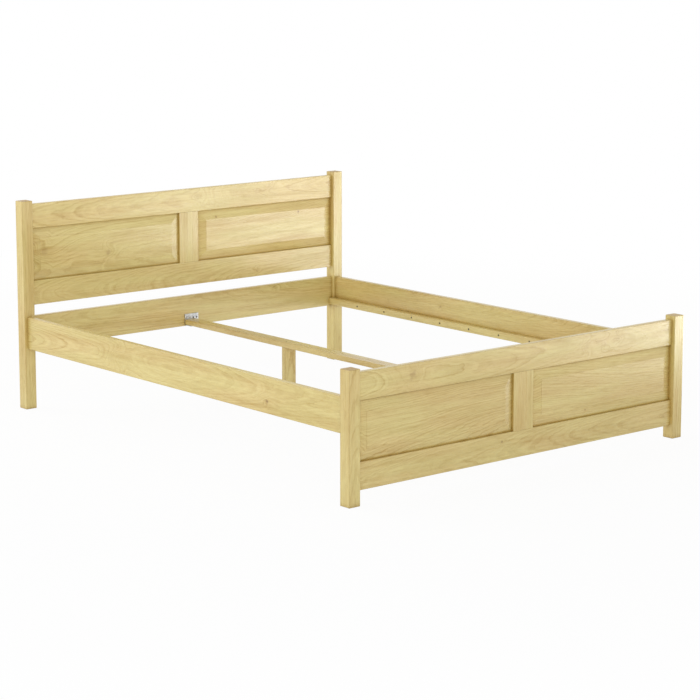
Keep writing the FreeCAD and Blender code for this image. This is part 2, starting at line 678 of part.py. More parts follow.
def make_bracket(end):
    """An angle bracket of bent sheet that carries one end of the centre beam.

    Its own origin is at the foot of the face that lies on the board, and its shelf points to -Y
    before the bracket is turned.
    """
    body = new_body(
        f"beam_bracket_{END_NAMES[end]}", "bracket_offset",
        HEAD_FRAME_FRONT if end == HEAD else FOOT_FRAME_BACK, BRACKET_BOTTOM,
        turn=0 if end == HEAD else 180,
    )
    bent = (
        ("0", "0"), ("0", "bracket_leg"), ("-bracket_thick", "bracket_leg"),
        ("-bracket_thick", "bracket_thick"), ("-bracket_leg", "bracket_thick"), ("-bracket_leg", "0"),
    )
    sheet_metal = draw(body, "YZ_Plane", "bent", [bent])
    blank = pad(body, "bent", sheet_metal, "bracket_width", both_ways=True)
    outer_bend = [
        f"Edge{i}"
        for i, edge in enumerate(blank.Shape.Edges, start=1)
        if all(abs(vertex.Y) + abs(vertex.Z) < NEARLY_NOTHING for vertex in edge.Vertexes)
    ]
    ease(body, blank, outer_bend, "bracket_bend")

    upright = [
        (f"{step} * bracket_hole_pitch", f"{BRACKET_SCREW_Z} - {BRACKET_BOTTOM}")
        for step in BRACKET_HOLES
    ]
    through = "bracket_thick"
    holes = clear_holes(body, "upright", "XZ_Plane", upright, through, -1, through)
    countersink(body, "upright_sinks", holes, through)
    shelf = [(f"{s} * shelf_hole_pitch / 2", "-shelf_hole_inset") for s in (-1, 1)]
    holes = clear_holes(body, "shelf", "XY_Plane", shelf, "0", 1, through)
    countersink(body, "shelf_sinks", holes, through)


def cut_bracket_pilots(board, bottom, face, sign):
    """Pilot holes in the face of a board behind a bracket, for its two screws: they use the
    pair of holes right of the bracket's middle."""
    spots = [
        (f"bracket_offset + {step} * bracket_hole_pitch", f"{BRACKET_SCREW_Z} - {bottom}")
        for step in BRACKET_SCREWED
    ]
    pilot_holes(board, "bracket_pilots", "XZ_Plane", spots, face, sign, BRACKET_PILOT_DEPTH)


def make_centre_screws():
    """The screws of the beam's brackets and legs, one group for each kind."""
    board = new_body("bracket_board_screws", "bracket_offset", FRAMES_MIDDLE, BRACKET_SCREW_Z)
    spots = [(f"{step} * bracket_hole_pitch", "0") for step in BRACKET_SCREWED]
    face = f"-({HALF_FRAMES_GAP} - bracket_thick)"
    head_pair = screws(board, "head_pair", "XZ_Plane", spots, face, -1, "bracket_screw_length")
    mirror(board, "both_ends", head_pair, "XZ_Plane")

    beam = new_body("bracket_beam_screws", "bracket_offset", FRAMES_MIDDLE, BRACKET_BOTTOM)
    spots = [
        (f"{s} * shelf_hole_pitch / 2", f"{t} * ({HALF_FRAMES_GAP} - shelf_hole_inset)")
        for s in (-1, 1)
        for t in (FOOT, HEAD)
    ]
    screws(beam, "all", "XY_Plane", spots, "0", 1, "bracket_screw_length")

    legs = new_body("leg_screws", z=BEAM_TOP)
    spots = [
        (f"{s} * leg_screw_pitch / 2", f"{t} * {LEG_SPACING} / 2")
        for s in (-1, 1)
        for t in (FOOT, HEAD)
    ]
    screws(legs, "all", "XY_Plane", spots, "0", -1, "leg_screw_length")


# ---- hook plates and catch plates ----------------------------------------------------------

def make_plate(kind, end, side):
    """A steel plate let in flush where a side rail meets a post, with two screw holes.

    Its own origin is in the middle of the face where a hook plate and a catch plate meet. Before
    it is turned, the catch plate lies on the +Y side of that face and the hook plate on the other.
    """
    body = new_body(
        f"{kind}_plate_{END_NAMES[end]}_{SIDE_NAMES[side]}",
        f"{side} * {SIDE_RAIL_X}", f"{end} * {INNER_LENGTH} / 2", PLATE_Z,
        turn=0 if end == HEAD else 180,
    )
    half_height = f"{PLATE_HEIGHT} / 2"
    section = box("-plate_width / 2", f"-{half_height}", "plate_width / 2", half_height)
    catching = kind == "catch"
    sketch = draw(body, "XZ_Plane", "blank", [section])
    pad(body, "blank", sketch, "plate_thick", backwards=catching)
    spots = [("0", f"{up} * {PLATE_SCREW_Z}") for up in (-1, 1)]
    into = -1 if catching else 1
    holes = clear_holes(body, "screws", "XZ_Plane", spots, "0", into, "plate_thick")
    countersink(body, "sinks", holes, "plate_thick")
    return body


def make_catch_plate(end, side):
    """The plate in a post: the hooks enter its two slots and drop behind it."""
    body = make_plate("catch", end, side)
    half_width = "(hook_width / 2 + hook_play)"
    slots = [box(f"-{half_width}", low, half_width, f"{low} + {SLOT_HEIGHT}") for low in HOOK_HEIGHTS]
    cut(body, "slots", draw(body, "XZ_Plane", "slots", slots), "plate_thick")


def make_hook_plate(end, side):
    """The plate in the end of a side rail: its two hooks bear on the slots of the catch plate."""
    body = make_plate("hook", end, side)
    hooks = [
        (
            ("-plate_thick", low), (NOSE_START, low), (NOSE_START, f"{low} - hook_drop"),
            ("hook_reach", f"{low} - hook_drop"), ("hook_reach", f"{low} + hook_height"),
            ("-plate_thick", f"{low} + hook_height"),
        )
        for low in HOOK_HEIGHTS
    ]
    pad(body, "hooks", draw(body, "YZ_Plane", "hooks", hooks), "hook_width", both_ways=True)


def make_plate_screws(kind, sign):
    """The screws of the four hook plates, or of the four catch plates.

    Its own origin is in the middle of the bed at the plates' height. sign is 1 for screws that
    point from a plate into the middle of the bed, and -1 for screws that point out of it.
    """
    body = new_body(f"{kind}_plate_screws", z=PLATE_Z)
    spots = [(f"{s} * {SIDE_RAIL_X}", f"{up} * {PLATE_SCREW_Z}") for s in (LEFT, RIGHT) for up in (-1, 1)]
    face = f"-{INNER_LENGTH} / 2"
    head_end = screws(body, "head_end", "XZ_Plane", spots, face, sign, "plate_screw_length")
    mirror(body, "both_ends", head_end, "XZ_Plane")


# ---- the bed -------------------------------------------------------------------------------

def build():
    for end in (FOOT, HEAD):
        for side in (LEFT, RIGHT):
            make_post(end, side)
            make_hook_plate(end, side)
            make_catch_plate(end, side)
        make_leg(end)
        make_bracket(end)
    for side in (LEFT, RIGHT):
        make_side_rail(side)
        make_ledger(side)
        make_ledger_screws(side)
    make_panel_frame(HEAD, HEAD_FRAME_FRONT, "head_frame_bottom", "head_panel_rail")
    foot_stile = make_panel_frame(FOOT, FOOT_FRAME_FRONT, "foot_frame_bottom", "foot_bottom_rail")
    stile_bottom = "(foot_frame_bottom + frame_rail_width)"
    cut_bracket_pilots(foot_stile, stile_bottom, "-frame_thick", 1)
    cross_board = make_cross_piece(
        "head_cross_board", HEAD_FRAME_FRONT, "side_rail_bottom", "side_rail_height",
    )
    cut_bracket_pilots(cross_board, "side_rail_bottom", "0", -1)
    make_beam()
    make_centre_screws()
    make_plate_screws("hook", 1)
    make_plate_screws("catch", -1)


def check():
    """Stops if anything in the document failed or a piece is not a sound solid."""
    for thing in doc.Objects:
        if "Invalid" in thing.State or "Error" in thing.State:
            raise RuntimeError(f"{thing.Name} failed")
    for body in bodies:
        shape = body.Shape
        if shape.isNull() or not shape.isValid() or not shape.Solids:
            raise RuntimeError(f"{body.Label} is not a sound solid")


build()
doc.recompute()
check()
for body in bodies:
    body.Shape.exportStep(f"parts/{body.Label}.step")
    print(f"{body.Label}: {len(body.Shape.Solids)} solid(s), {body.Shape.Volume / 1000:.1f} cm3")
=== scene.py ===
import math
import random

import bpy
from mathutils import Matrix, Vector


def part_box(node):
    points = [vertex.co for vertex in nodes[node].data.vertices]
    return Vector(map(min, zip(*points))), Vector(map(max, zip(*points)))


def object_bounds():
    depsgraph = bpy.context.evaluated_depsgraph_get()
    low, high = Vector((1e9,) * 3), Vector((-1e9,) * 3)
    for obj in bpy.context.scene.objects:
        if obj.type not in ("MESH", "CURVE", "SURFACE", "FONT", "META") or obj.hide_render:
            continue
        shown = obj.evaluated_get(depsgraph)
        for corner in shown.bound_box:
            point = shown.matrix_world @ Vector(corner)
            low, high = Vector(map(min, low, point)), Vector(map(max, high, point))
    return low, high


# A double bed frame of pale knotty pine with a satin finish, in a white studio. Metres, in the
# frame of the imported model: +Z up, the headboard at +Y, the footboard at -Y.

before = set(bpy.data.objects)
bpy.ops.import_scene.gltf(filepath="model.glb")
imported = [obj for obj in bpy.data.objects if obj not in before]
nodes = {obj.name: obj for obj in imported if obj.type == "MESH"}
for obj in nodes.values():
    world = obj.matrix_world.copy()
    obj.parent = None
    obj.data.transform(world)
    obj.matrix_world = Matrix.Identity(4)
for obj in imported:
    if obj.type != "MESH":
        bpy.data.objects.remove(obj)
cad_low, cad_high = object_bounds()


# ---- colours -------------------------------------------------------------------------------

def paint(red, green, blue):
    """A colour given as it shows on a screen, 0 to 255, as the linear colour of a shader."""
    def linear(value):
        share = value / 255
        return share / 12.92 if share <= 0.04045 else ((share + 0.055) / 1.055) ** 2.4

    return (linear(red), linear(green), linear(blue), 1.0)


EARLY_WOOD = paint(238, 221, 156)
LATE_WOOD = paint(192, 162, 89)
GREEN_CAST = paint(253, 255, 249)
PINK_CAST = paint(255, 251, 248)
END_CAST = paint(222, 206, 186)
DARK_ARRIS = paint(180, 154, 96)
# Painted shade: the darker, more golden colour that the wood is multiplied towards in corners and
# joints.
PAINTED_CREVICE_SHADE = paint(204, 184, 118)
KNOT_HEART = paint(150, 108, 62)
KNOT_RIM = paint(104, 72, 38)
ZINC = paint(205, 207, 208)
DULL_ZINC = paint(150, 152, 154)
SCREW_STEEL = paint(78, 70, 60)
DULL_STEEL = paint(54, 48, 42)
WHITE = (1.0, 1.0, 1.0, 1.0)
FLOOR_PAINT = paint(248, 248, 247)


# ---- shader graphs -------------------------------------------------------------------------

class Graph:
    """Short ways to add nodes to one node tree. A value may be a number or another's output."""

    def __init__(self, tree):
        self.tree = tree

    def add(self, kind, **settings):
        made = self.tree.nodes.new(kind)
        for name, value in settings.items():
            setattr(made, name, value)
        return made

    def feed(self, socket, value):
        if isinstance(value, bpy.types.NodeSocket):
            self.tree.links.new(value, socket)
        else:
            socket.default_value = value

    def math(self, operation, *values, clamp=False):
        made = self.add("ShaderNodeMath", operation=operation, use_clamp=clamp)
        for socket, value in zip(made.inputs, values):
            self.feed(socket, value)
        return made.outputs[0]

    def vector(self, operation, *values):
        made = self.add("ShaderNodeVectorMath", operation=operation)
        for socket, value in zip(made.inputs, values):
            self.feed(socket, value)
        return made.outputs["Value" if operation == "LENGTH" else "Vector"]

    def scaled(self, vector, factor):
        made = self.add("ShaderNodeVectorMath", operation="SCALE")
        self.feed(made.inputs[0], vector)
        self.feed(made.inputs["Scale"], factor)
        return made.outputs["Vector"]

    def parts(self, vector):
        made = self.add("ShaderNodeSeparateXYZ")
        self.feed(made.inputs[0], vector)
        return list(made.outputs)

    def joined(self, *values):
        made = self.add("ShaderNodeCombineXYZ")
        for socket, value in zip(made.inputs, values):
            self.feed(socket, value)
        return made.outputs[0]

    def clouds(self, spot, detail, roughness=0.5):
        """The node of a noise with features about one unit of spot wide."""
        made = self.add("ShaderNodeTexNoise")
        self.feed(made.inputs["Vector"], spot)
        made.inputs["Scale"].default_value = 1.0
        made.inputs["Detail"].default_value = detail
        made.inputs["Roughness"].default_value = roughness
        return made

    def noise(self, spot, detail, roughness=0.5):
        """A noise as one value from 0 to 1."""
        return self.clouds(spot, detail, roughness).outputs[0]

    def shake(self, spot, detail):
        """A noise as a vector with each part from -0.5 to 0.5."""
        colour = self.clouds(spot, detail).outputs["Color"]
        return self.vector("SUBTRACT", colour, (0.5, 0.5, 0.5))

    def spread(self, value, low, high, to_low=0.0, to_high=1.0, smooth=False):
        """Maps low..high of a value to to_low..to_high, and holds it there beyond."""
        made = self.add(
            "ShaderNodeMapRange", interpolation_type="SMOOTHSTEP" if smooth else "LINEAR",
        )
        for socket, given in zip(made.inputs, (value, low, high, to_low, to_high)):
            self.feed(socket, given)
        return made.outputs[0]

    def mix(self, factor, one, other, blend="MIX"):
        made = self.add("ShaderNodeMix", data_type="RGBA", blend_type=blend)
        self.feed(made.inputs["Factor"], factor)
        colours = [socket for socket in made.inputs if socket.type == "RGBA"]
        self.feed(colours[0], one)
        self.feed(colours[1], other)
        return next(socket for socket in made.outputs if socket.type == "RGBA")

    def ramp(self, value, stops):
        """A grey ramp through stops of place and level."""
        made = self.add("ShaderNodeValToRGB")
        self.feed(made.inputs[0], value)
        points = made.color_ramp.elements
        while len(points) < len(stops):
            points.new(0.5)
        for point, (place, level) in zip(points, stops):
            point.position = place
            point.color = (level, level, level, 1.0)
        return made.outputs["Color"]


def new_group(name, inputs, outputs):
    """An empty shader group with its sockets; gives the graph and its input and output nodes."""
    tree = bpy.data.node_groups.new(name, "ShaderNodeTree")
    for title, kind in inputs:
        tree.interface.new_socket(title, in_out="INPUT", socket_type=f"NodeSocket{kind}")
    for title, kind in outputs:
        tree.interface.new_socket(title, in_out="OUTPUT", socket_type=f"NodeSocket{kind}")
    graph = Graph(tree)
    return graph, graph.add("NodeGroupInput").outputs, graph.add("NodeGroupOutput").inputs


def use_group(graph, group, **values):
    """Adds a group to a graph and feeds its inputs by name."""
    made = graph.add("ShaderNodeGroup", node_tree=group)
    for title, value in values.items():
        graph.feed(made.inputs[title], value)
    return made.outputs


def new_material(name):
    """A new material; gives it with its graph and its Principled shader."""
    material = bpy.data.materials.new(name)
    material.use_nodes = True
    return material, Graph(material.node_tree), material.node_tree.nodes["Principled BSDF"]


def add_bump(graph, shader, height, strength, distance):
    bump = graph.add("ShaderNodeBump")
    bump.inputs["Strength"].default_value = strength
    bump.inputs["Distance"].default_value = distance
    graph.feed(bump.inputs["Height"], height)
    graph.feed(shader.inputs["Normal"], bump.outputs[0])


def cover(thing, material):
    for held in thing.material_slots:
        held.material = material


# ---- wood ----------------------------------------------------------------------------------

# How dark a ring is along its width: palest just after its start, darkest in its late wood.
RING_PROFILE = ((0.0, 0.40), (0.10, 0.03), (0.45, 0.08), (0.74, 0.40), (0.90, 1.0), (1.0, 0.40))

# Noises are stretched along the grain. A pair of scales is along and across it, per metre, and
# this is the scale into the board as a share of the one across. Each piece's seed moves them.
INTO_BOARD = 0.35
SEED_STEP = (13.7, 7.3, 3.1)

# How the rings bend along the board: scales, reach in metres, detail.
RING_BENDS = (
    ((1.6, 4.0), 0.030, 1.0),
    ((6.0, 20.0), 0.0060, 3.0),
    ((34.0, 60.0), 0.0026, 2.0),
)

# Rings are wide or narrow by a noise over the radius, with this scale and this reach in rings,
# and strong or faint by chance, down to this.
YEAR_SCALE, YEAR_REACH = 45.0, 2.2
FAINTEST_RING = 0.45

# A spread maps its first two values to the next two, or to 0 and 1, and a share is how much that
# darkens the wood. Here for how clear the rings are, and for the fainter lines between them.
CLEAR_SCALES, CLEAR_SPREAD = (2.0, 9.0), (0.35, 0.62, 0.16, 0.42)
LINES_PER_RING, LINE_SPREAD, LINE_SHARE = 2.7, (0.38, 0.66), 0.24

# What else darkens the wood: scales, detail, roughness, spread, share.
FIGURES = {
    "streak": ((2.2, 120.0), 3.0, 0.6, (0.38, 0.66), 0.20),
    "dashes": ((20.0, 150.0), 2.0, 0.6, (0.48, 0.70), 0.20),
    "fibre": ((7.0, 520.0), 3.0, 0.6, (0.40, 0.72), 0.08),
    "patch": ((4.5, 42.0), 2.0, 0.5, (0.36, 0.64), 0.17),
    "broad": ((1.3, 12.0), 2.0, 0.5, (0.35, 0.68), 0.15),
}
CORE_SHARE = 0.16

# The green and pink casts, and the arrises made darker where there are streaks.
CAST_SCALES, CAST_SPREAD = (2.6, 13.0), (0.38, 0.62)
DARK_ARRIS_SPREAD, DARK_ARRIS_SHARE = (0.30, 0.65, 0.35, 1.0), 0.45

# The satin finish: its roughness over the fibres, and what patches, rings and ends add to it.
SATIN_SPREAD, PATCH_SPREAD = (0.30, 0.75, 0.26, 0.32), (0.34, 0.66, -0.5, 0.5)
PATCH_ROUGHNESS, RING_ROUGHNESS, END_ROUGHNESS = 0.06, -0.04, 0.16
FIBRE_HEIGHT, RING_HEIGHT = 0.6, 0.5


def make_timber():
    """Solid wood: rings round a pith that wander along the board, fibres, streaks and casts.

    Place is the place in the board, with X along its grain. Ray points from the pith to it.
    Lift pushes the rings out round knots, and Core, Heart and End are masks from 0 to 1.
    """
    graph, given, result = new_group(
        "timber",
        (
            ("Place", "Vector"), ("Ray", "Vector"), ("Seed", "Float"), ("Pitch", "Float"),
            ("Lift", "Float"), ("Core", "Float"), ("Heart", "Float"), ("End", "Float"),
            ("Edge", "Float"), ("Tone", "Float"),
        ),
        (("Color", "Color"), ("Roughness", "Float"), ("Height", "Float")),
    )
    place, seed = given["Place"], graph.scaled(SEED_STEP, given["Seed"])

    def spot(scales):
        along, across = scales
        stretched = graph.vector("MULTIPLY", place, (along, across, INTO_BOARD * across))
        return graph.vector("ADD", stretched, seed)

    bent = given["Ray"]
    for scales, reach, detail in RING_BENDS:
        push = graph.vector("MULTIPLY", graph.shake(spot(scales), detail), (0.0, reach, reach))
        bent = graph.vector("ADD", bent, push)
    flat = graph.vector("MULTIPLY", bent, (0.0, 1.0, 1.0))
    radius = graph.math("ADD", graph.vector("LENGTH", flat), given["Lift"])
    uneven = graph.add("ShaderNodeTexNoise", noise_dimensions="1D")
    graph.feed(uneven.inputs["W"], graph.math("MULTIPLY", radius, YEAR_SCALE))
    uneven.inputs["Scale"].default_value = 1.0
    years = graph.math("DIVIDE", radius, given["Pitch"])
    years = graph.math("MULTIPLY_ADD", uneven.outputs[0], YEAR_REACH, years)
    ring = graph.ramp(graph.math("FRACT", years), RING_PROFILE)
    dice = graph.add("ShaderNodeTexWhiteNoise", noise_dimensions="1D")
    graph.feed(dice.inputs["W"], graph.math("FLOOR", years))
    strength = graph.spread(dice.outputs["Value"], 0.0, 1.0, FAINTEST_RING, 1.0)
    ring = graph.math("MULTIPLY", ring, strength)

    clear = graph.spread(graph.noise(spot(CLEAR_SCALES), 1.0), *CLEAR_SPREAD)
    shade = graph.math("MULTIPLY", ring, clear)
    lines = graph.joined(graph.math("MULTIPLY", years, LINES_PER_RING), given["Seed"], 0.0)
    lines = graph.spread(graph.noise(lines, 2.0), *LINE_SPREAD)
    shade = graph.math("MULTIPLY_ADD", lines, LINE_SHARE, shade)
    noises = {}
    for name, (scales, detail, roughness, spread, share) in FIGURES.items():
        noises[name] = graph.noise(spot(scales), detail, roughness)
        shade = graph.math("MULTIPLY_ADD", graph.spread(noises[name], *spread), share, shade)
    shade = graph.math("MULTIPLY_ADD", given["Core"], CORE_SHARE, shade, clamp=True)

    colour = graph.mix(shade, EARLY_WOOD, LATE_WOOD)
    cast = graph.spread(graph.noise(spot(CAST_SCALES), 2.0), *CAST_SPREAD)
    colour = graph.mix(1.0, colour, graph.mix(cast, GREEN_CAST, PINK_CAST), "MULTIPLY")
    colour = graph.mix(given["Heart"], colour, graph.mix(ring, KNOT_HEART, KNOT_RIM))
    colour = graph.mix(given["End"], colour, graph.mix(1.0, colour, END_CAST, "MULTIPLY"))
    # The arrises are made darker where a streak crosses them.
    dark_arris = graph.math("MULTIPLY", given["Edge"], graph.spread(noises["streak"], *DARK_ARRIS_SPREAD))
    colour = graph.mix(graph.math("MULTIPLY", dark_arris, DARK_ARRIS_SHARE), colour, DARK_ARRIS)
    level = graph.joined(given["Tone"], given["Tone"], given["Tone"])
    colour = graph.mix(1.0, colour, level, "MULTIPLY")

    rough = graph.spread(noises["fibre"], *SATIN_SPREAD)
    patch = graph.spread(noises["patch"], *PATCH_SPREAD)
    rough = graph.math("MULTIPLY_ADD", patch, PATCH_ROUGHNESS, rough)
    rough = graph.math("MULTIPLY_ADD", ring, RING_ROUGHNESS, rough)
    rough = graph.math("MULTIPLY_ADD", given["End"], END_ROUGHNESS, rough)
    height = graph.math("MULTIPLY", ring, RING_HEIGHT)
    height = graph.math("MULTIPLY_ADD", noises["fibre"], FIBRE_HEIGHT, height)
    graph.feed(result["Color"], colour)
    graph.feed(result["Roughness"], rough)
    graph.feed(result["Height"], height)
    return graph.tree


# How far a knot's parts reach along and across the grain, in its radii.
EYE, HEART, HALO = (5.2, 2.3), (1.1, 1.0), (3.0, 1.8)
EYE_LIFT = 1.1
EYE_LEAN = (-2.0, 2.0, 0.7, 1.9)
# The heart fades over its rim, which a noise makes ragged: its scale and its reach in radii.
HEART_FADE = (0.2, 1.25, 1.0, 0.0)
RAGGED_SCALE, RAGGED_REACH = (70.0, 70.0, 0.0), 2.2


def make_knot():
    """One knot that runs through a board: it lifts the rings round it into an eye.

    Centre is its place along and across the board, Size its radius, Dark how dark its heart is.
    The grain closes more steeply on the side that Lean points to.
    """
    graph, given, result = new_group(
        "knot",
        (
            ("Place", "Vector"), ("Centre", "Vector"), ("Size", "Float"), ("Dark", "Float"),
            ("Lean", "Float"),
        ),
        (("Lift", "Float"), ("Core", "Float"), ("Heart", "Float")),
    )
    away = graph.vector("SUBTRACT", given["Place"], given["Centre"])
    push = graph.shake(graph.vector("MULTIPLY", given["Place"], RAGGED_SCALE), 2.0)
    push = graph.scaled(push, graph.math("MULTIPLY", given["Size"], RAGGED_REACH))
    ragged = graph.vector("ADD", away, push)
    ahead = graph.math("MULTIPLY", graph.parts(away)[0], given["Lean"])
    steep = graph.spread(graph.math("DIVIDE", ahead, given["Size"]), *EYE_LEAN)

    def distance(span, reach):
        along, across = reach
        stretched = graph.vector("MULTIPLY", span, (1 / along, 1 / across, 0.0))
        return graph.math("DIVIDE", graph.vector("LENGTH", stretched), given["Size"])

    def bell(value):
        square = graph.math("POWER", value, 2.0)
        return graph.math("EXPONENT", graph.math("MULTIPLY", square, -1.0))

    eye = bell(graph.math("MULTIPLY", distance(away, EYE), steep))
    lift = graph.math("MULTIPLY", given["Size"], EYE_LIFT)
    heart = graph.spread(distance(ragged, HEART), *HEART_FADE, smooth=True)
    graph.feed(result["Lift"], graph.math("MULTIPLY", eye, lift))
    graph.feed(result["Core"], bell(distance(ragged, HALO)))
    graph.feed(result["Heart"], graph.math("MULTIPLY", heart, given["Dark"]))
    return graph.tree


TIMBER = make_timber()
KNOT = make_knot()
COORDINATE = {"X": 0, "Y": 1, "Z": 2}
# End grain shows where a face looks along the grain by this much.
END_SPREAD = (0.6, 0.9)
EDGE_REACH = 0.0035
# Painted shade in corners and joints: how far the ambient occlusion looks, its samples, and how
# its value maps to the share of the painted shade.
CREVICE_SHADE_REACH, CREVICE_SHADE_SAMPLES, CREVICE_SHADE_SPREAD = 0.025, 6, (0.25, 0.85, 1.0, 0.0)
WOOD_BUMP, WOOD_DEPTH = 0.35, 0.0004
WOOD_IOR, WOOD_GLOSS = 1.5, 0.6


def wood(name, axes, pith, slope, pitch, seed, tone, knots):
    """The wood of one piece, cut from its own place in a trunk.

    axes names the directions along the grain, across the board and into it. pith is the trunk's
    middle across and into the board from the piece's own middle, slope how it drifts along.
    """
    material, graph, shader = new_material(f"wood_{name}")
    low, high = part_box(name)
    order = [COORDINATE[axis] for axis in axes]
    coordinates = graph.add("ShaderNodeTexCoord")

    def own(vector):
        values = graph.parts(vector)
        return graph.joined(*(values[i] for i in order))

    place = own(graph.vector("SUBTRACT", coordinates.outputs["Object"], tuple((low + high) / 2)))
    along = graph.parts(place)[0]
    ray = graph.vector("SUBTRACT", place, (0.0, *pith))
    ray = graph.vector("SUBTRACT", ray, graph.scaled((0.0, *slope), along))

    lift, core, heart = 0.0, 0.0, 0.0
    for at_along, at_across, size, dark, lean in knots:
        found = use_group(
            graph, KNOT, Place=place, Centre=(at_along, at_across, 0.0), Size=size, Dark=dark,
            Lean=lean,
        )
        lift = graph.math("ADD", found["Lift"], lift)
        core = graph.math("ADD", found["Core"], core)
        heart = graph.math("MAXIMUM", found["Heart"], heart)

    facing = graph.vector("ABSOLUTE", own(coordinates.outputs["Normal"]))
    end = graph.spread(graph.parts(facing)[0], *END_SPREAD)
    half = tuple((high - low)[i] / 2 for i in order)
    inside = graph.parts(graph.vector("SUBTRACT", half, graph.vector("ABSOLUTE", place)))
    # An arris is near where the middle one of the three depths below the faces is small.
    nearest = graph.math("MINIMUM", graph.math("MINIMUM", inside[0], inside[1]), inside[2])
    total = graph.math("ADD", graph.math("ADD", inside[0], inside[1]), inside[2])
    farthest = graph.math("MAXIMUM", graph.math("MAXIMUM", inside[0], inside[1]), inside[2])
    middle = graph.math("SUBTRACT", graph.math("SUBTRACT", total, nearest), farthest)
    edge = graph.spread(middle, 0.0, EDGE_REACH, 1.0, 0.0, smooth=True)

    made = use_group(
        graph, TIMBER, Place=place, Ray=ray, Seed=seed, Pitch=pitch, Lift=lift, Core=core,
        Heart=heart, End=end, Edge=edge, Tone=tone,
    )
    # Painted shade: the wood is darkened towards a golden brown in corners, joints and recesses by
    # how near other surfaces are. This stands in for the shade that falls there.
    corner = graph.add("ShaderNodeAmbientOcclusion", samples=CREVICE_SHADE_SAMPLES)
    corner.inputs["Distance"].default_value = CREVICE_SHADE_REACH
    crevice_shade = graph.spread(corner.outputs["AO"], *CREVICE_SHADE_SPREAD)
    colour = graph.mix(crevice_shade, made["Color"], graph.mix(1.0, made["Color"], PAINTED_CREVICE_SHADE, "MULTIPLY"))
    graph.feed(shader.inputs["Base Color"], colour)
    graph.feed(shader.inputs["Roughness"], made["Roughness"])
    add_bump(graph, shader, made["Height"], WOOD_BUMP, WOOD_DEPTH)
    shader.inputs["IOR"].default_value = WOOD_IOR
    shader.inputs["Specular IOR Level"].default_value = WOOD_GLOSS
    return material


# The axes of a piece: along its grain, across its face and into it, by how it stands.
LYING = "XZY"
UPRIGHT = "ZXY"
SIDE = "YZX"
FLAT = "YXZ"

# Each piece of wood: its axes, the pith across and into the board from its middle, the ring
# pitch, the tone, and its knots as place along, place across, radius, darkness and lean.
TIMBERS = {
    "head_post_left": (UPRIGHT, (0.070, 0.050), 0.0038, 0.98, ()),
    "head_post_right": (UPRIGHT, (-0.085, 0.060), 0.0036, 1.02, ()),
    "foot_post_left": (UPRIGHT, (0.012, 0.075), 0.0046, 0.98, ()),
    "foot_post_right": (UPRIGHT, (0.060, 0.070), 0.0038, 1.00, ()),
    "head_top_rail": (
        LYING, (0.010, 0.110), 0.0051, 1.02,
        ((0.439, 0.030, 0.008, 0.15, 1), (0.047, 0.012, 0.011, 0.12, -1)),
    ),
    "head_panel_rail": (LYING, (-0.045, 0.130), 0.0043, 1.00, ((0.369, -0.026, 0.006, 0.35, 1),)),
    "head_stile": (UPRIGHT, (0.060, 0.060), 0.0033, 1.00, ()),
    "head_panel_left": (
        LYING, (-0.045, 0.120), 0.0056, 0.99,
        ((-0.312, 0.010, 0.020, 0.22, -1), (0.002, -0.025, 0.015, 0.34, 1)),
    ),
    "head_panel_right": (
        LYING, (0.160, 0.150), 0.0040, 1.02,
        ((-0.277, 0.075, 0.005, 0.80, 1), (0.180, 0.060, 0.006, 0.75, 1)),
    ),
    "head_cross_board": (LYING, (0.055, 0.120), 0.0042, 0.97, ((0.464, 0.053, 0.005, 0.60, -1),)),
    "foot_top_rail": (
        LYING, (0.006, 0.095), 0.0051, 0.98,
        (
            (-0.542, 0.008, 0.017, 0.30, 1), (0.328, 0.000, 0.012, 0.14, -1),
            (0.496, 0.010, 0.010, 0.10, 1),
        ),
    ),
    "foot_bottom_rail": (LYING, (-0.020, 0.120), 0.0046, 0.98, ((-0.107, 0.019, 0.006, 0.55, 1),)),
    "foot_stile": (UPRIGHT, (-0.070, 0.055), 0.0033, 1.00, ()),
    "foot_panel_left": (LYING, (-0.090, 0.140), 0.0043, 0.98, ()),
    "foot_panel_right": (
        LYING, (0.110, 0.130), 0.0046, 0.99, ((-0.098, -0.081, 0.005, 0.40, -1),),
    ),
    "side_rail_left": (
        SIDE, (0.008, 0.090), 0.0056, 1.00,
        ((-0.583, -0.023, 0.008, 0.75, 1), (0.350, -0.006, 0.026, 0.00, 1)),
    ),
    "side_rail_right": (SIDE, (0.070, -0.120), 0.0043, 0.98, ((0.300, 0.020, 0.006, 0.5, 1),)),
    "ledger_left": (SIDE, (0.040, 0.060), 0.0038, 0.98, ()),
    "ledger_right": (SIDE, (-0.050, 0.050), 0.0038, 0.99, ()),
    "centre_beam": (FLAT, (0.010, -0.070), 0.0046, 0.97, ()),
    "centre_leg_head": (UPRIGHT, (0.010, 0.060), 0.0043, 0.99, ()),
    "centre_leg_foot": (UPRIGHT, (-0.030, 0.050), 0.0043, 0.99, ()),
}


DRAW_SEED = 41
# How far the pith drifts across a piece and into it, per metre along the grain.
DRIFT_ACROSS = (-0.040, 0.040)
DRIFT_INTO = (0.030, 0.060)


def dress_wood():
    """Gives each piece of wood its own cut of timber."""
    draws = random.Random(DRAW_SEED)
    for seed, (name, (axes, pith, pitch, tone, knots)) in enumerate(TIMBERS.items(), start=1):
        across = draws.uniform(*DRIFT_ACROSS)
        slope = (across, draws.choice((-1, 1)) * draws.uniform(*DRIFT_INTO))
        cover(nodes[name], wood(name, axes, pith, slope, pitch, float(seed), tone, knots))


# ---- steel ---------------------------------------------------------------------------------

# The marks and the mottle are noises with scales per metre, and both add to the roughness.
PLATE_ROUGHNESS, PLATE_MARKS = 0.26, (900.0, 900.0, 60.0)
SCREW_ROUGHNESS, SCREW_MARKS = 0.34, (700.0, 700.0, 700.0)
MOTTLE, MOTTLE_SPREAD = (90.0, 90.0, 90.0), (0.35, 0.70)
MARKS_ROUGHNESS, MOTTLE_ROUGHNESS = 0.18, 0.10
STEEL_BUMP, STEEL_DEPTH = 0.2, 0.0002


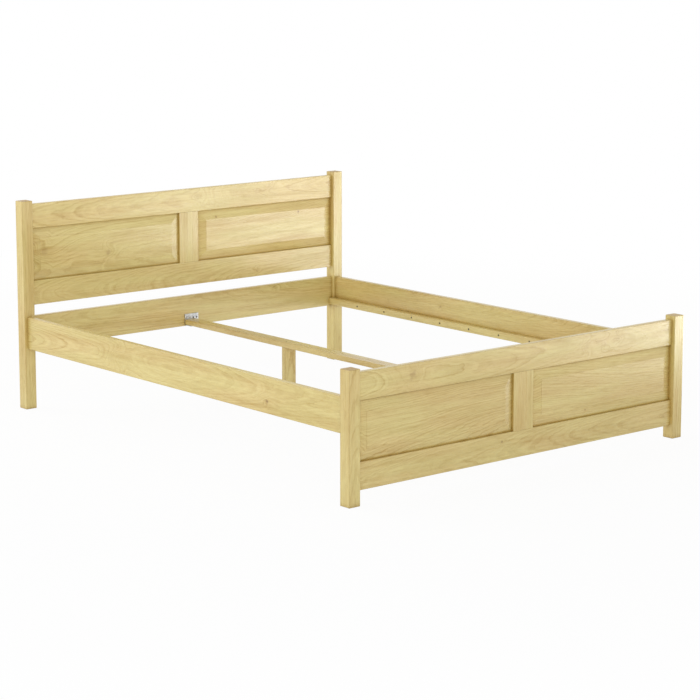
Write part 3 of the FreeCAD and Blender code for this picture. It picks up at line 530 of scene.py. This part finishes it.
def steel(name, bright, dull, smoothest, marking):
    """Plated steel: a mottled plating over fine rolling marks, with the scales of marking."""
    material, graph, shader = new_material(name)
    spot = graph.add("ShaderNodeTexCoord").outputs["Object"]
    marks = graph.noise(graph.vector("MULTIPLY", spot, marking), 3.0, 0.6)
    mottle = graph.noise(graph.vector("MULTIPLY", spot, MOTTLE), 4.0, 0.6)
    mottle = graph.spread(mottle, *MOTTLE_SPREAD)
    graph.feed(shader.inputs["Base Color"], graph.mix(mottle, bright, dull))
    rough = graph.math("MULTIPLY_ADD", mottle, MOTTLE_ROUGHNESS, smoothest)
    rough = graph.math("MULTIPLY_ADD", marks, MARKS_ROUGHNESS, rough)
    graph.feed(shader.inputs["Roughness"], rough)
    add_bump(graph, shader, marks, STEEL_BUMP, STEEL_DEPTH)
    shader.inputs["Metallic"].default_value = 1.0
    return material


def dress_steel():
    """Gives the brackets and plates bright zinc and all the screws darker steel."""
    zinc = steel("zinc_plate", ZINC, DULL_ZINC, PLATE_ROUGHNESS, PLATE_MARKS)
    dark = steel("screw_steel", SCREW_STEEL, DULL_STEEL, SCREW_ROUGHNESS, SCREW_MARKS)
    for name, thing in nodes.items():
        if "screws" in name:
            cover(thing, dark)
        elif "bracket" in name or "plate" in name:
            cover(thing, zinc)


# ---- studio --------------------------------------------------------------------------------

CAMERA_PLACE = (-5.8178, -6.9847, 2.0554)
CAMERA_HEADING = 40.016
CAMERA_TILT = 9.228
CAMERA_LENS = 118.82
CAMERA_SHIFT = -0.1
CAMERA_SENSOR = 36.0
CAMERA_REACH = 100.0


def make_camera():
    """The photograph's view: heading is from +Y towards +X, tilt is down, both in degrees."""
    data = bpy.data.cameras.new("view")
    data.sensor_width = CAMERA_SENSOR
    data.lens = CAMERA_LENS
    data.shift_y = CAMERA_SHIFT
    data.clip_end = CAMERA_REACH
    camera = bpy.data.objects.new("view", data)
    camera.location = CAMERA_PLACE
    camera.rotation_euler = (math.radians(90 - CAMERA_TILT), 0.0, math.radians(-CAMERA_HEADING))
    bpy.context.scene.collection.objects.link(camera)
    bpy.context.scene.camera = camera


# Each lamp: its place, what it points at, its width and height, and its power in watts. The
# flat faces mirror the floor panel, which lies on the floor and shines up. No lamp is in view.
LAMPS = {
    "overhead": ((0.0, 0.2, 4.6), (0.0, 0.0, 0.0), 4.0, 4.0, 10.0),
    "front_left": ((-3.7, -5.7, 2.4), (0.0, 0.0, 0.3), 3.0, 3.0, 79.0),
    "floor_panel": ((4.3, -2.9, 0.01), (4.3, -2.9, 9.0), 4.4, 4.0, 400.0),
    "side_right": ((5.5, -1.5, 1.6), (0.0, 0.3, 0.4), 2.5, 2.0, 20.0),
    "right": ((4.7, 0.4, 1.2), (0.0, 0.4, 0.4), 3.0, 2.0, 16.0),
    "left": ((-5.0, 0.2, 2.0), (0.0, 0.2, 0.3), 3.0, 3.0, 38.0),
    "back": ((-3.0, 4.8, 3.0), (0.0, 0.0, 0.3), 3.0, 3.0, 85.0),
}
WORLD_LEVEL = 0.56


def make_lamps():
    for name, (place, aim, width, height, watts) in LAMPS.items():
        data = bpy.data.lights.new(name, "AREA")
        data.shape = "RECTANGLE"
        data.size = width
        data.size_y = height
        data.energy = watts
        lamp = bpy.data.objects.new(name, data)
        lamp.location = place
        lamp.rotation_euler = (Vector(aim) - Vector(place)).to_track_quat("-Z", "Y").to_euler()
        lamp.visible_camera = False
        bpy.context.scene.collection.objects.link(lamp)


def seen_rays(graph):
    """1 for rays that show a surface: from the camera, in a reflection or through glass."""
    paths = graph.add("ShaderNodeLightPath").outputs
    seen = graph.math("MAXIMUM", paths["Is Camera Ray"], paths["Is Glossy Ray"])
    return graph.math("MAXIMUM", seen, paths["Is Transmission Ray"])


def make_world():
    """An even white surround, dimmer as a lamp than as a background."""
    world = bpy.data.worlds.new("studio")
    world.use_nodes = True
    graph = Graph(world.node_tree)
    shader = world.node_tree.nodes["Background"]
    shader.inputs["Color"].default_value = WHITE
    strength = graph.spread(seen_rays(graph), 0.0, 1.0, WORLD_LEVEL, 1.0)
    graph.feed(shader.inputs["Strength"], strength)
    bpy.context.scene.world = world


# The floor glows by FLOOR_GLOW up to GLOW_NEAR metres from the middle, wholly from GLOW_FAR on.
FLOOR_REACH, FLOOR_ROUGHNESS = 40.0, 0.9
FLOOR_GLOW, GLOW_NEAR, GLOW_FAR = 0.935, 2.2, 5.0


def make_floor():
    """A white floor that fades into the background but keeps the object's soft shadow."""
    bpy.ops.mesh.primitive_plane_add(size=2 * FLOOR_REACH, location=(0.0, 0.0, cad_low.z))
    floor = bpy.context.object
    floor.name = "floor"
    material, graph, shader = new_material("floor")
    shader.inputs["Base Color"].default_value = FLOOR_PAINT
    shader.inputs["Roughness"].default_value = FLOOR_ROUGHNESS
    glow = graph.add("ShaderNodeEmission")
    glow.inputs["Color"].default_value = WHITE
    blend = graph.add("ShaderNodeMixShader")
    away = graph.vector("LENGTH", graph.add("ShaderNodeTexCoord").outputs["Object"])
    share = graph.spread(away, GLOW_NEAR, GLOW_FAR, FLOOR_GLOW, 1.0, smooth=True)
    graph.feed(blend.inputs[0], graph.math("MULTIPLY", share, seen_rays(graph)))
    graph.feed(blend.inputs[1], shader.outputs[0])
    graph.feed(blend.inputs[2], glow.outputs[0])
    output = material.node_tree.nodes["Material Output"]
    graph.feed(output.inputs["Surface"], blend.outputs[0])
    floor.data.materials.append(material)


# ---- the scene -----------------------------------------------------------------------------

dress_wood()
dress_steel()
make_camera()
make_lamps()
make_world()
make_floor()
bpy.context.scene.view_settings.view_transform = "Standard"
